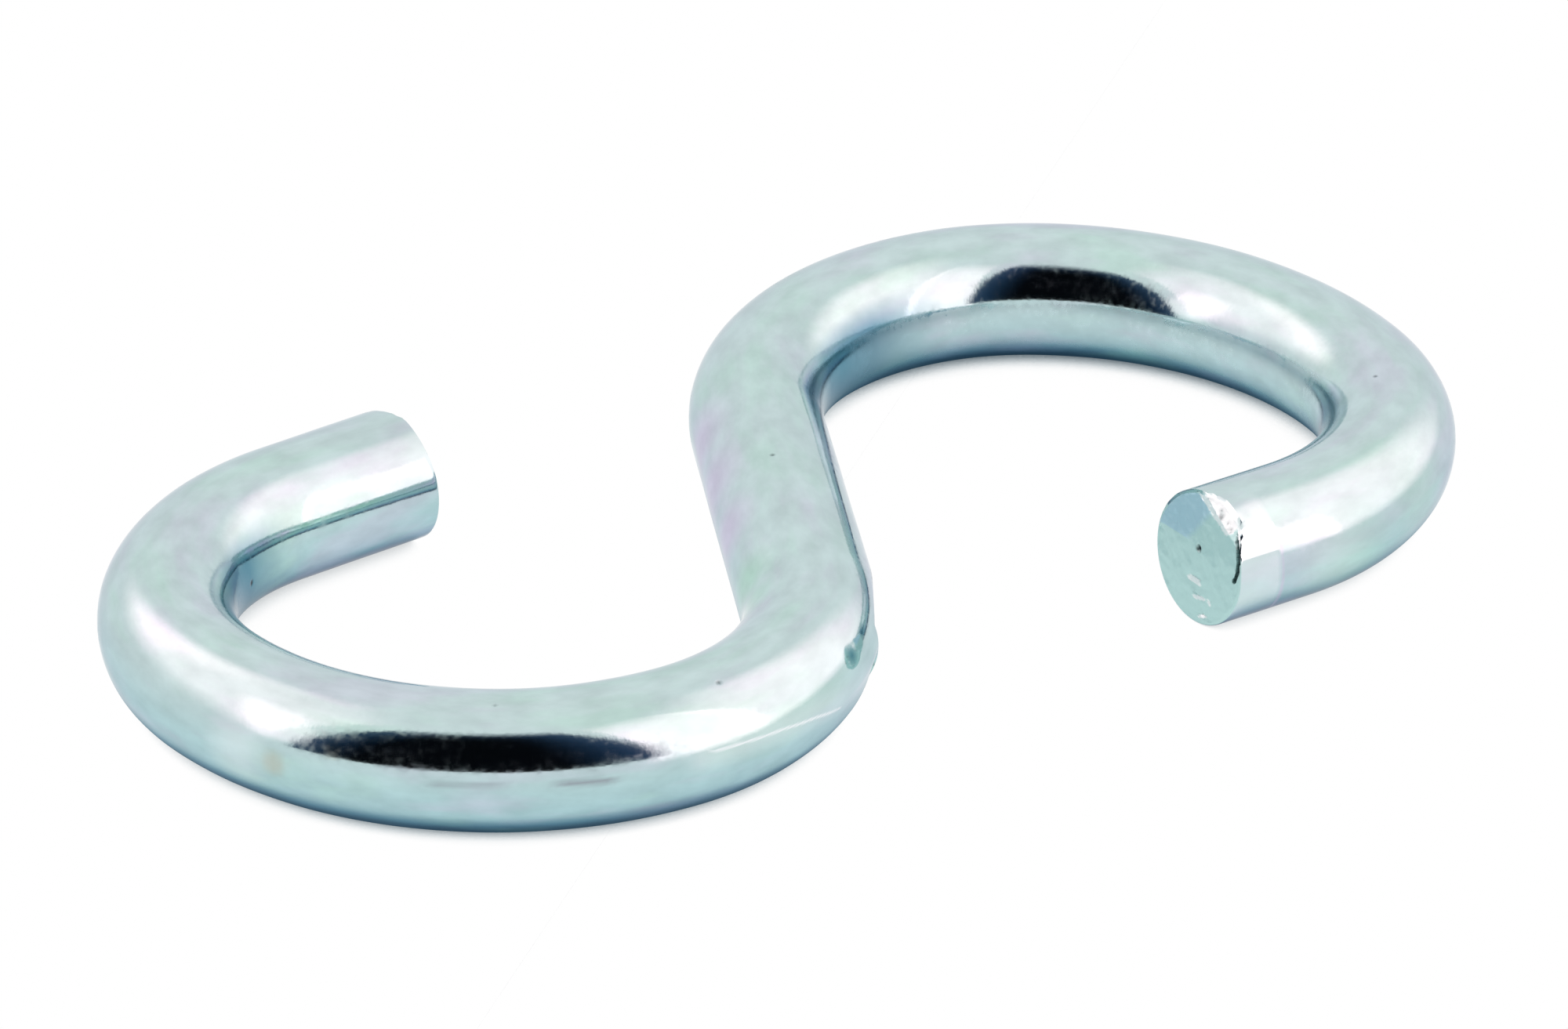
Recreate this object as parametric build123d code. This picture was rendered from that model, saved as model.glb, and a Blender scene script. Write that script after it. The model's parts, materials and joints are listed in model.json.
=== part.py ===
import math
import os

from build123d import *

# An open S hook bent from one length of drawn steel wire, lying flat on its side.
# +X runs along its length, +Z is up, and the origin is under the middle of its box.
# Sizes are in millimetres and degrees.

# Wire
wire_diameter = 4.88

# Neck: the straight run between the two eyes, and how far it leans from the hook's length
neck_length = 12.6
neck_heading = 71.0

# Upper eye, from the neck to the cut end: each bend's radius at the wire's centre and its turn
upper_shoulder_radius = 10.0
upper_shoulder_turn = 100.0
upper_crown_radius = 13.3
upper_crown_turn = 60.5
upper_return_radius = 8.7
upper_return_turn = 84.5
upper_tail_length = 3.8

# Lower eye, from the neck to the cut end
lower_shoulder_radius = 9.1
lower_shoulder_turn = 69.0
lower_crown_radius = 12.4
lower_crown_turn = 80.5
lower_return_radius = 8.9
lower_return_turn = 92.0
lower_tail_length = 5.3

# Sheared ends: lean sets the top of a cut back, skew sets its left side back
upper_cut_lean = 5.5
upper_cut_skew = 2.0
lower_cut_lean = 1.0
lower_cut_skew = -3.0
cut_allowance = 1.6
rim_round = 0.14

# Smooth upper part of each cut, above a ridge where the blade's stroke gave way to the break
burnish_height = 0.45
burnish_lean = 6.0

# Torn lip: a facet on the rim of each cut
torn_lip_width = 0.65
torn_lip_lean = 37.0
torn_lip_place = 66.0

# Two flats left by the gripper on the outside of the upper tail: how high round the wire, and how deep
grip_length = 1.95
high_grip_place = 34.0
high_grip_depth = 0.055
low_grip_place = 6.5
low_grip_depth = 0.09

# Flat pressed by the bending tool on the outside of the lower shoulder, ended by a step
press_flat_place = 6.8
press_flat_depth = 0.28
press_flat_run = 4.2
press_flat_reach = 1.82

# Rub line below the middle of the wire, round the outside of the lower shoulder
rub_start = 16.5
rub_turn = 46.0
rub_depth = 0.07
rub_lean = 16.0

# Pip printed by the tool's nose beside the flat
pip_place = 30.0
pip_lift = 25.0
pip_radius = 1.4
pip_depth = 0.06

# How far every cutter reaches past the surface that it cuts
overrun = 0.6

wire_radius = wire_diameter / 2


def run_eye(start, heading, bends, tail_length):
    """Edges of one eye: bends that all turn clockwise, then a straight tail with stock for the cut."""
    edges = []
    for radius, turn in bends:
        edges.append(JernArc(start, heading, radius, -turn))
        start = edges[-1] @ 1
        heading = edges[-1] % 1
    edges.append(Line(start, start + heading * (tail_length + cut_allowance)))
    return edges


def bend_section(bend, turn, place):
    """Section of the wire at an angle into a bend: x points out of the bend, y up, z along the wire."""
    share = place / turn
    centre = bend @ share
    return Plane(centre, x_dir=centre - bend.arc_center, z_dir=bend % share)


def tail_section(tail):
    """Section of the wire where its end is cut: x points left of the wire, y up, z out of the end."""
    outward = tail % 1
    return Plane(tail @ 1 - outward * cut_allowance, x_dir=Vector(0, 0, 1).cross(outward), z_dir=outward)


def cutting_block(start=Align.CENTER):
    """Block that clears the end of the wire, with its working face at the origin."""
    side = 2 * wire_diameter
    depth = cut_allowance + wire_radius
    return Box(side, side, depth, align=(Align.CENTER, start, Align.MIN))


def shear_end(hook, tail, lean, skew):
    """Cut a tail through and round the rim, then set back the burnished part and the torn lip."""
    cut = tail_section(tail).location * Rot(Y=skew) * Rot(X=-lean)
    hook -= cut * cutting_block()
    face = hook.faces().filter_by(GeomType.PLANE).sort_by_distance(cut.position)[0]
    hook = fillet(face.edges(), rim_round)
    hook -= cut * Pos(Y=burnish_height) * Rot(X=-burnish_lean) * cutting_block(Align.MIN)
    lip = Rot(Z=torn_lip_place) * Pos(X=wire_radius - torn_lip_width) * Rot(Y=torn_lip_lean)
    hook -= cut * lip * cutting_block()
    return hook


def grip_flat(tail, place, depth):
    """Block whose inner face is a flat along the end of a tail."""
    length = grip_length + cut_allowance
    block = Box(depth + overrun, wire_diameter, length, align=(Align.MIN, Align.CENTER, Align.MIN))
    start = tail_section(tail).location * Pos(Z=-grip_length)
    return start * Rot(Z=place) * Pos(X=wire_radius - depth) * block


def press_flat(bend, turn):
    """Block whose inner face is the flat and whose far side is the step."""
    section = bend_section(bend, turn, press_flat_place)
    depth = press_flat_depth + overrun
    block = Box(depth, wire_diameter, press_flat_run + press_flat_reach, align=(Align.MIN, Align.CENTER, Align.MIN))
    return section.location * Pos(wire_radius - press_flat_depth, 0, -press_flat_run) * block


def rub_line(bend, turn):
    """Leaning strip turned round the bend's own centre."""
    section = bend_section(bend, turn, rub_start)
    strip = Rectangle(rub_depth + overrun, wire_radius, align=(Align.MIN, Align.CENTER))
    profile = section.location * Rot(Z=-rub_lean) * Pos(X=wire_radius - rub_depth) * strip
    return revolve(profile, Axis(bend.arc_center, (0, 0, -1)), rub_turn)


def pip(bend, turn):
    """Ball that prints a round pip on the upper outside of the bend."""
    section = bend_section(bend, turn, pip_place)
    return section.location * Rot(Z=pip_lift) * Pos(X=wire_radius - pip_depth + pip_radius) * Sphere(pip_radius)


# Centre line of the wire, from the cut end of the lower eye to the cut end of the upper one
along_neck = Vector(math.cos(math.radians(neck_heading)), math.sin(math.radians(neck_heading)), 0)
neck_start = along_neck * (-neck_length / 2)
neck_end = along_neck * (neck_length / 2)
upper_eye = run_eye(
    neck_end,
    along_neck,
    [
        (upper_shoulder_radius, upper_shoulder_turn),
        (upper_crown_radius, upper_crown_turn),
        (upper_return_radius, upper_return_turn),
    ],
    upper_tail_length,
)
lower_eye = run_eye(
    neck_start,
    along_neck * -1,
    [
        (lower_shoulder_radius, lower_shoulder_turn),
        (lower_crown_radius, lower_crown_turn),
        (lower_return_radius, lower_return_turn),
    ],
    lower_tail_length,
)
centre_line = Wire(lower_eye[::-1] + [Line(neck_start, neck_end)] + upper_eye)

# Bent wire
lower_tail = lower_eye[-1]
upper_tail = upper_eye[-1]
lower_shoulder = lower_eye[0]
section = Plane(lower_tail @ 1, z_dir=lower_tail % 1) * Circle(wire_radius)
hook = sweep(section, path=centre_line)

# Marks of the tools that cut and bent it
hook = shear_end(hook, upper_tail, upper_cut_lean, upper_cut_skew)
hook = shear_end(hook, lower_tail, lower_cut_lean, lower_cut_skew)
hook -= grip_flat(upper_tail, high_grip_place, high_grip_depth)
hook -= grip_flat(upper_tail, low_grip_place, low_grip_depth)
hook -= press_flat(lower_shoulder, lower_shoulder_turn)
hook -= rub_line(lower_shoulder, lower_shoulder_turn)
hook -= pip(lower_shoulder, lower_shoulder_turn)

# Laid on the floor with the origin under the middle of its box
box = hook.bounding_box()
hook = Pos(-box.center().X, -box.center().Y, -box.min.Z) * hook
hook.label = "s_hook"

os.makedirs("parts", exist_ok=True)
export_step(hook, "parts/s_hook.step")
print("wire", round(centre_line.length, 2), "box", hook.bounding_box().size, "volume", round(hook.volume, 2))
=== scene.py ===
import json
from math import atan2, ceil, cos, degrees, hypot, inf, pi, radians, sin

import bmesh
import bpy
import numpy as np
from mathutils import Matrix, Vector

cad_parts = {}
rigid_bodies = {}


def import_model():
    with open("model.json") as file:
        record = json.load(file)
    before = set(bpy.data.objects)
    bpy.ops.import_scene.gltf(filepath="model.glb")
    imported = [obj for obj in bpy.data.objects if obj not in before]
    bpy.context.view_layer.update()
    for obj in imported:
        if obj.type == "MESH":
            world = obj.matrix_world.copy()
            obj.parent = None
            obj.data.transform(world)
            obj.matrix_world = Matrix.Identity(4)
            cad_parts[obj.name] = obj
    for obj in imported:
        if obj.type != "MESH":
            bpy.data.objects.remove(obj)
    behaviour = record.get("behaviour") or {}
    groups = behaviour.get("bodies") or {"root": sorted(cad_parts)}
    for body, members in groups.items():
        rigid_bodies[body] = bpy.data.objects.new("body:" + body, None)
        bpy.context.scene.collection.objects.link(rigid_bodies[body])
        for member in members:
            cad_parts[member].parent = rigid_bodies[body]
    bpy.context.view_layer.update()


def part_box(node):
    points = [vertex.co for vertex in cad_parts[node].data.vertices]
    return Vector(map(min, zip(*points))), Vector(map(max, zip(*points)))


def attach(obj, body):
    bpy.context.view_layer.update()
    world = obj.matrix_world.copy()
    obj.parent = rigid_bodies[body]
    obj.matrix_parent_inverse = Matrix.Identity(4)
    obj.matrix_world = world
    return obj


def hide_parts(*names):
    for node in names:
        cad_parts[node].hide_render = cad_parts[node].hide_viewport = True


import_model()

mm = 0.001
scene = bpy.context.scene
scene.view_settings.view_transform = "Standard"


def hexColour(text):
    # sRGB hex to the linear colour that the nodes want
    parts = [int(text[i:i + 2], 16) / 255 for i in (1, 3, 5)]
    return [p / 12.92 if p <= 0.04045 else ((p + 0.055) / 1.055) ** 2.4 for p in parts] + [1.0]


def addNode(tree, kind, settings=None, links=None):
    # settings name a property, an input or a ramp's stops; links name an input and the socket that feeds it
    node = tree.nodes.new(kind)
    for name, value in (settings or {}).items():
        if name == "stops":
            ramp = node.color_ramp.elements
            ramp.remove(ramp[1])
            ramp[0].position, ramp[0].color = value[0][0], hexColour(value[0][1])
            for position, shade in value[1:]:
                ramp.new(position).color = hexColour(shade)
        elif isinstance(name, str) and hasattr(node, name):
            setattr(node, name, value)
        else:
            node.inputs[name].default_value = value
    for name, source in (links or {}).items():
        tree.links.new(source, node.inputs[name])
    return node


def newMaterial(name):
    material = bpy.data.materials.new(name)
    material.use_nodes = True
    material.node_tree.nodes.clear()
    return material, material.node_tree


# Camera, placed as the photograph was taken: a long lens, a little above the hook
viewpoint = {
    "lens": 223.8,
    "sensor": 36.0,
    "turn": -27.0,  # degrees round from the front
    "height": 28.73,  # degrees above the floor
    "away": 344.7,
    "lookAt": (0.10, -0.05, 2.44),
}


def placeCamera(view):
    turn, height = radians(view["turn"]), radians(view["height"])
    back = Vector((cos(height) * sin(turn), -cos(height) * cos(turn), sin(height)))
    spot = (Vector(view["lookAt"]) + back * view["away"]) * mm
    bpy.ops.object.camera_add(location=spot, rotation=(pi / 2 - height, 0, turn))
    camera = bpy.context.object
    camera.name = "camera"
    camera.data.sensor_width = view["sensor"]
    camera.data.lens = view["lens"]
    camera.data.clip_start = 10 * mm
    scene.camera = camera


bpy.ops.object.select_all(action="DESELECT")
placeCamera(viewpoint)
print("camera placed")


# The hook: one length of wire, drawn out both ways from the middle of its neck
sHook = {
    "wire": 4.88,
    "sides": 128,  # points round the wire
    "step": 0.22,  # between rings along it
    "neck": 12.6,
    "neckHeading": 71.0,
    "upper": {"bends": [(10.0, 100.0), (13.3, 60.5), (8.7, 84.5)], "tail": 3.8},
    "lower": {"bends": [(9.1, 69.0), (12.4, 80.5), (8.9, 92.0)], "tail": 5.3},
    "spare": 0.4,  # wire past each cut, taken off by it
    "sharp": 28.0,  # degrees between faces past which an edge stays sharp
}
wireRadius = sHook["wire"] / 2 * mm
wireUp = Vector((0, 0, 1))


def ahead(heading):
    return Vector((cos(radians(heading)), sin(radians(heading)), 0))


def layRuns(heading, eye):
    # straight and bent runs from the neck's middle to the cut; every bend turns right
    runs = []
    start = Vector((0, 0, wireRadius))
    out = 0
    stretches = [(0, sHook["neck"] / 2)] + eye["bends"] + [(0, eye["tail"])]
    for radius, amount in stretches:
        run = {"start": start, "heading": heading, "radius": radius * mm, "out": out}
        if radius:
            run["turn"] = radians(amount)
            run["length"] = run["radius"] * run["turn"]
            run["centre"] = start + ahead(heading - 90) * run["radius"]
            heading -= amount
            start = run["centre"] + ahead(heading + 90) * run["radius"]
        else:
            run["length"] = amount * mm
            start = start + ahead(heading) * run["length"]
        out += run["length"]
        runs.append(run)
    return runs


ways = {
    "upper": layRuns(sHook["neckHeading"], sHook["upper"]),
    "lower": layRuns(sHook["neckHeading"] + 180, sHook["lower"]),
}


def station(way, out):
    # point on the centre line and the heading there, so many millimetres out from the neck's middle
    runs = ways[way]
    run = [r for r in runs if r["out"] <= out * mm][-1]
    past = out * mm - run["out"]
    if not run["radius"]:
        return run["start"] + ahead(run["heading"]) * past, run["heading"]
    heading = run["heading"] - degrees(past / run["radius"])
    return run["centre"] + ahead(heading + 90) * run["radius"], heading


def unbend(points):
    # along, left and up in millimetres for rows of points, as if the wire were still straight
    best = np.full(len(points), 1.0)
    along = np.zeros(len(points))
    left = np.zeros(len(points))
    for way, sign in (("upper", 1), ("lower", -1)):
        for run in ways[way]:
            if run["radius"]:
                spoke = points - np.array(run["centre"])
                turned = radians(run["heading"] + 90) - np.arctan2(spoke[:, 1], spoke[:, 0])
                turned = (turned + pi / 2) % (2 * pi) - pi / 2
                past = turned * run["radius"]
                side = np.hypot(spoke[:, 0], spoke[:, 1]) - run["radius"]
            else:
                spoke = points - np.array(run["start"])
                past = spoke @ np.array(ahead(run["heading"]))
                side = spoke @ np.array(ahead(run["heading"] + 90))
            over = np.maximum(np.maximum(-past, past - run["length"]), 0)
            miss = over + np.maximum(abs(side) - wireRadius, 0)
            nearer = miss < best - 1e-9
            best = np.where(nearer, miss, best)
            along = np.where(nearer, sign * (run["out"] + past), along)
            left = np.where(nearer, sign * side, left)
    return np.stack([along, left, points[:, 2] - wireRadius], 1) / mm


grasp = {
    "mark": 8.0,  # no mark reaches further than this from the middle of its plane
    "flush": 0.001,  # on a cut's own plane
    "pastRim": 0.5,
    "proud": 0.6,  # how far skin stands off a plane that it is pressed to
    "shallow": 0.3,  # the same for a small mark
    "besideLoop": 0.6,
    "fromSkin": 6.0,  # round the whole wire from a place on its skin
    "fromAxis": 3.0,  # round the whole wire from its middle
    "besideDent": 0.3,
}  # how far each job reaches for points, in mm
dentCore = 0.45  # share of a dent's radius that is pushed in


def pick(plane, test):
    # selects points near a plane's middle that pass a test on their place there, and the faces between them
    mesh = bpy.context.object.data
    bpy.ops.mesh.select_mode(type="VERT")
    bpy.ops.mesh.select_all(action="DESELECT")
    back = Matrix.Scale(1 / mm, 4) @ plane.inverted()
    middle = plane.translation
    bm = bmesh.from_edit_mesh(mesh)
    for point in bm.verts:
        if (point.co - middle).length_squared < (grasp["mark"] * mm) ** 2:
            point.select = test(*(back @ point.co))
    bm.select_flush_mode()
    bmesh.update_edit_mesh(mesh)


def flatten(plane, inside, keep=0):
    # presses what stands proud of a plane back towards it, and keeps that share of its round;
    # the plane's z points out of the metal
    pick(plane, lambda x, y, z: z > 0 and inside(x, y, z))
    bpy.ops.transform.resize(
        value=(1, 1, keep), orient_type="GLOBAL", orient_matrix=plane.to_3x3(),
        orient_matrix_type="GLOBAL", center_override=plane.translation,
    )


def score(plane, x, reach):
    # an edge loop across the wire, at x along the plane
    place = plane @ Matrix.Translation((x * mm, 0, 0))
    pick(place, lambda x, y, z: abs(x) < grasp["besideLoop"] and hypot(y, z) < reach)
    bpy.ops.mesh.bisect(plane_co=place.translation, plane_no=place.to_3x3().col[0], threshold=1e-8)


def dent(plane, radius, depth):
    # a pit or a pip: finer faces there, then a soft push into the metal
    rim = radius + grasp["besideDent"]
    pick(plane, lambda x, y, z: hypot(x, y) < rim and abs(z) < grasp["proud"])
    bpy.ops.mesh.subdivide(number_cuts=2, smoothness=1)
    pick(plane, lambda x, y, z: hypot(x, y) < dentCore * radius and abs(z) < grasp["shallow"])
    bpy.ops.transform.translate(
        value=plane.to_3x3().col[2] * (-depth * mm), use_proportional_edit=True,
        proportional_edit_falloff="SMOOTH", proportional_size=radius * mm,
    )


def skinPlane(way, out, around):
    # on the wire's skin: x along the wire, z straight out of it. Around is 0 outside the bend and 90 on top
    centre, heading = station(way, out)
    along = ahead(heading)
    outward = ahead(heading + 90) * cos(radians(around)) + wireUp * sin(radians(around))
    plane = Matrix((along, outward.cross(along), outward)).transposed().to_4x4()
    plane.translation = centre + outward * wireRadius
    return plane


def drawOut(way):
    for run in ways[way]:
        rings = ceil(run["length"] / (sHook["step"] * mm))
        if run["radius"]:
            bpy.ops.mesh.spin(steps=rings, angle=run["turn"], center=run["centre"], axis=wireUp)
            continue
        forward = ahead(run["heading"])
        length = run["length"]
        if run is ways[way][-1]:
            length -= sHook["spare"] * mm
        for each in range(rings):
            bpy.ops.mesh.extrude_region_move(TRANSFORM_OT_translate={"value": forward * (length / rings)})
    bpy.ops.mesh.extrude_region_move(TRANSFORM_OT_translate={"value": forward * (2 * sHook["spare"] * mm)})


# Sheared ends. Lean sets the top of a cut back, skew its left side. Places on a cut are left and up, in mm
cutEnds = {
    "upper": {"lean": 5.5, "skew": 2.0},
    "lower": {"lean": 1.0, "skew": -3.0},
    "rim": 0.14,
    "rimSteps": 4,
    "rimShare": 0.6,  # of the rim's round that shows the cut's colour
    "rimReach": 1.1,  # wire radii that hold the rim
    "faceInset": 0.1,  # the cut's colour on its face starts this far inside the wire's skin
    "breakInset": 0.02,  # the rough break starts this far inside the rim
    "breakDeep": 0.5,
    "ridge": 0.45,  # height of the line between the burnished part and the break
    "ridgeLean": 6.0,
    "ridgeReach": 3.2,
    "blue": (-0.72, 0.71, 0.35),  # left end of the burnished part's bluer colour, partly a painted reflection, at the ridge, its slope, its softness
    "lip": 0.65,
    "lipLean": 37.0,
    "lipPlace": 66.0,
    "lipReach": 2.4,  # from the middle of its own plane
    "lipRim": 2.6,  # from the middle of the cut
    "lipDeep": 0.8,
    "lipAbove": 0.02,  # its crumbs may start this far above the cut's plane
    "lipShows": 0.02,  # sunk this far, the lip has its own near-white colour, torn steel partly painted as a glint
    "burr": [(1.75, 1.6), (2.0, 1.2), (2.16, 0.75), (2.2, 0.35), (2.12, 0.08), (2.05, 0.0)],
    "burrWidth": 0.075,
    "burrDepth": 0.12,
    "burrFine": 0.2,  # finer faces this near to it
    "burrGapShade": 1.5,  # widths over which its gap gets painted shade
    "hole": (-0.02, 0.38, 0.14),  # left, up, radius
    "holeDepth": 0.6,  # share of its radius
    # radii over which the hole gets painted shade
    "holeShade": 1.3,
    "torn": (47.0, 104.0),  # degrees round the cut, from its left
    "flecks": [
        ((-0.35, -0.87), (0.2, -0.9), 0.1),
        ((0.0, -1.48), (0.56, -1.37), 0.07),
        ((0.8, -1.34), (0.86, -1.42), 0.08),
        ((0.41, -2.1), (0.7, -1.97), 0.06),
    ],  # bright chips, painted near white partly as glints: both ends of each and half its width
    "fleckLean": 20.0,
    "fleckSink": 0.02,
    "fleckSpread": 1.5,  # half widths that a chip's flat takes in
}


def cutPlane(way):
    # x to the left of the wire, y up, z out of the end
    tail = ways[way][-1]
    outward = ahead(tail["heading"])
    left = ahead(tail["heading"] + 90)
    place = tail["start"] + outward * tail["length"]
    plane = Matrix((left, wireUp, outward)).transposed().to_4x4()
    plane.translation = place
    skew = Matrix.Rotation(radians(cutEnds[way]["skew"]), 4, "Y")
    lean = Matrix.Rotation(radians(-cutEnds[way]["lean"]), 4, "X")
    return plane @ skew @ lean


def cutThrough(way):
    # the last ring is still selected; one more takes in the wall behind it
    plane = cutPlane(way)
    bpy.ops.mesh.select_more()
    bpy.ops.mesh.bisect(
        plane_co=plane.translation, plane_no=plane.to_3x3().col[2], clear_outer=True, threshold=1e-8,
    )
    bpy.ops.mesh.edge_face_add()


def fromLine(x, y, line):
    # distance from a place on the cut to a line of points
    nearest = inf
    for (ax, ay), (bx, by) in zip(line, line[1:]):
        share = ((x - ax) * (bx - ax) + (y - ay) * (by - ay)) / ((bx - ax) ** 2 + (by - ay) ** 2)
        share = min(max(share, 0), 1)
        nearest = min(nearest, hypot(x - ax - share * (bx - ax), y - ay - share * (by - ay)))
    return nearest


def onLip(x, y):
    low, high = cutEnds["torn"]
    facing = radians(cutEnds["lipPlace"])
    past = x * cos(facing) + y * sin(facing) - wireRadius / mm + cutEnds["lip"]
    return past > 0 and low < degrees(atan2(y, x)) < high


def faceBreak(way):
    # rounds the rim, lays a grid over the cut, sets back the burnished part above the ridge,
    # then opens the gap behind the burr, the hole and the chips, and last the torn lip
    plane = cutPlane(way)
    radius = wireRadius / mm
    normal = plane.to_3x3().col[2]
    flush, proud, shallow = grasp["flush"], grasp["proud"], grasp["shallow"]
    pick(plane, lambda x, y, z: hypot(x, y) < radius + grasp["pastRim"] and abs(z) < flush)
    bpy.ops.mesh.region_to_loop()
    bpy.ops.mesh.bevel(offset=cutEnds["rim"] * mm, segments=cutEnds["rimSteps"], affect="EDGES")
    inner = radius - cutEnds["rim"] / 2
    pick(plane, lambda x, y, z: hypot(x, y) < inner and abs(z) < flush)
    bpy.ops.mesh.delete(type="ONLY_FACE")
    pick(plane, lambda x, y, z: hypot(x, y) < inner and abs(z) < flush)
    bpy.ops.mesh.fill_grid(span=sHook["sides"] // 4)
    bpy.ops.mesh.subdivide(number_cuts=1)
    pick(plane, lambda x, y, z: abs(z) < flush and hypot(x, y) < inner
         and (onLip(x, y) or fromLine(x, y, cutEnds["burr"]) < cutEnds["burrFine"]))
    bpy.ops.mesh.subdivide(number_cuts=1)
    ridge = plane @ Matrix.Translation((0, cutEnds["ridge"] * mm, 0))
    ridge = ridge @ Matrix.Rotation(radians(-cutEnds["ridgeLean"]), 4, "X")
    flatten(ridge, lambda x, y, z: z < proud and hypot(x, y) < cutEnds["ridgeReach"])
    pick(plane, lambda x, y, z: abs(z) < shallow and hypot(x, y) < inner
         and fromLine(x, y, cutEnds["burr"]) < cutEnds["burrWidth"])
    bpy.ops.transform.translate(value=normal * (-cutEnds["burrDepth"] * mm))
    left, up, size = cutEnds["hole"]
    dent(plane @ Matrix.Translation((left * mm, up * mm, 0)), size, cutEnds["holeDepth"] * size)
    for (ax, ay), (bx, by), half in cutEnds["flecks"]:
        middle = Vector(((ax + bx) / 2, (ay + by) / 2, -cutEnds["fleckSink"])) * mm
        fleck = plane @ Matrix.Translation(middle)
        fleck = fleck @ Matrix.Rotation(radians(-cutEnds["fleckLean"]), 4, "X")
        reach = hypot(bx - ax, by - ay) / 2
        across = cutEnds["fleckSpread"] * half
        flatten(fleck, lambda x, y, z: z < shallow and abs(x) < reach and abs(y) < across)
    lip = plane @ Matrix.Rotation(radians(cutEnds["lipPlace"]), 4, "Z")
    lip = lip @ Matrix.Translation((wireRadius - cutEnds["lip"] * mm, 0, 0))
    lip = lip @ Matrix.Rotation(radians(cutEnds["lipLean"]), 4, "Y")
    flatten(lip, lambda x, y, z: z < proud and hypot(x, y) < cutEnds["lipReach"])


def inBreak(x, y, z):
    edge = wireRadius / mm - cutEnds["rim"] - cutEnds["breakInset"]
    return hypot(x, y) < edge and abs(z) < cutEnds["breakDeep"]


def inLip(x, y, z):
    return onLip(x, y) and hypot(x, y) < cutEnds["lipRim"] and -cutEnds["lipDeep"] < z < cutEnds["lipAbove"]


def keepGroup(name, plane, test):
    # a vertex group of the points that pass the test
    pick(plane, test)
    bpy.ops.object.vertex_group_add()
    bpy.context.object.vertex_groups.active.name = name
    scene.tool_settings.vertex_group_weight = 1.0
    bpy.ops.object.vertex_group_assign()


def roughen(name, grain, depth, group="", octaves=2, level=1.0):
    # sinks the skin by a cloud of that grain, in mm; level 1 only sinks it, level 0.5 sinks and lifts it
    bpy.ops.object.modifier_add(type="DISPLACE")
    relief = bpy.context.object.modifiers[-1]
    relief.texture = bpy.data.textures.new(name, "CLOUDS")
    relief.texture.noise_scale = grain * mm
    relief.texture.noise_depth = octaves
    relief.texture_coords = "LOCAL"
    relief.strength = depth * mm
    relief.mid_level = level
    relief.vertex_group = group
    bpy.ops.object.modifier_apply(modifier=relief.name)


# Marks of the tools and of wear, in mm out from the neck's middle and degrees round the wire
toolMarks = {
    "flat": {
        "out": 7.38, "depth": 0.28, "towardsNeck": 4.2, "away": 1.82, "step": 0.03, "half": 2.4, "proud": 1.0,
    },
    "rub": {
        "from": 8.92, "to": 16.23, "lean": -16.0, "depth": 0.07, "half": 1.2,
        "ringShare": 0.4,  # of the way to the next ring, so that one ring moves at a time
        "fineAt": (14.6, 3), "fineHalf": (3.2, 0.8), "fineDeep": 1.0,  # finer faces for the bright line
    },
    "pip": {"way": "lower", "out": 11.0, "around": 26, "radius": 0.42, "depth": 0.02, "dark": 0.8},
    "grip": {
        "back": 1.95, "step": 0.12, "flats": [(34.0, 0.055), (6.5, 0.09)],
        "round": 0.5, "half": 1.2, "proud": 0.4,
        "light": 0.4, "lightFrom": -45, "lightTo": 80, "lightStart": 0.2,  # painted highlight from its step to the cut
        "ring": 0.6, "ringHalf": 0.11, "ringSharp": 1.2, "ringFrom": -80, "ringTo": 40,  # lilac on the step
        "soft": 30,  # degrees over which both fade round the wire
    },
}
brokenSteel = {
    "Tear": {"group": "Break", "grain": 0.7, "depth": 0.1, "level": 0.5},
    "Grit": {"group": "Break", "grain": 0.3, "depth": 0.04, "level": 0.5},
    "Crumb": {"group": "Lip", "grain": 0.22, "depth": 0.035, "level": 1.0},
}  # relief of the cuts, in mm
drawnWaves = {"grain": 2.6, "depth": 0.012}  # slow unevenness of the drawn wire, in mm
pitDepth = 0.15  # share of a pit's radius
# pits, each with painted shade in its hollow, as strong as dark
pits = [
    {"way": "upper", "out": 0.33, "around": 82, "radius": 0.12, "dark": 0.6},
    {"way": "lower", "out": 16.1, "around": 67, "radius": 0.12, "dark": 0.6},
    {"way": "lower", "out": 43.75, "around": 181, "radius": 0.15, "dark": 1.0},
    {"way": "upper", "out": 42.2, "around": 102, "radius": 0.11, "dark": 0.6},
    {"way": "lower", "out": 23.5, "around": 80, "radius": 0.1, "dark": 0.35},
]
stains = [
    {"way": "lower", "out": 28.25, "around": 27, "radius": 0.45, "dark": 0.9},
    {"way": "lower", "out": 30.1, "around": 3, "radius": 0.6, "dark": 0.8},
]
dulled = [
    {"way": "lower", "out": 28.4, "around": 24, "radius": 1.9, "dark": 1.0},
    {"way": "lower", "out": 26.4, "around": 24, "radius": 1.6, "dark": 0.7},
]  # where the plate is blotchy
scuffs = [
    {"mask": "scuffed", "way": "lower", "line": [(19.8, 7), (22.0, 10)], "half": 2.8, "strength": 1.0},
    {"mask": "scuffed", "way": "lower", "line": [(23.0, 11), (25.6, 9)], "half": 2.8, "strength": 0.6},
    # painted highlights: a bright line along the rub, then a broad lighter band above it
    {
        "mask": "rubbed", "way": "lower", "line": [(11.7, -9), (13.4, 4), (14.7, 10), (16.2, 13), (17.4, 14)],
        "half": 1.4, "strength": 1.0,
    },
    {
        "mask": "rubbed", "way": "lower", "line": [(9.8, -6), (11.7, 0), (13.4, 8), (15.5, 13), (18.0, 12)],
        "half": 14, "strength": 0.27,
    },
]  # each line's places out and round, and half its width in degrees
scuffEdge = {"ends": 2.0, "sides": 1.3}  # how fast a line starts, per mm, and the half widths that hold it
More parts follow.
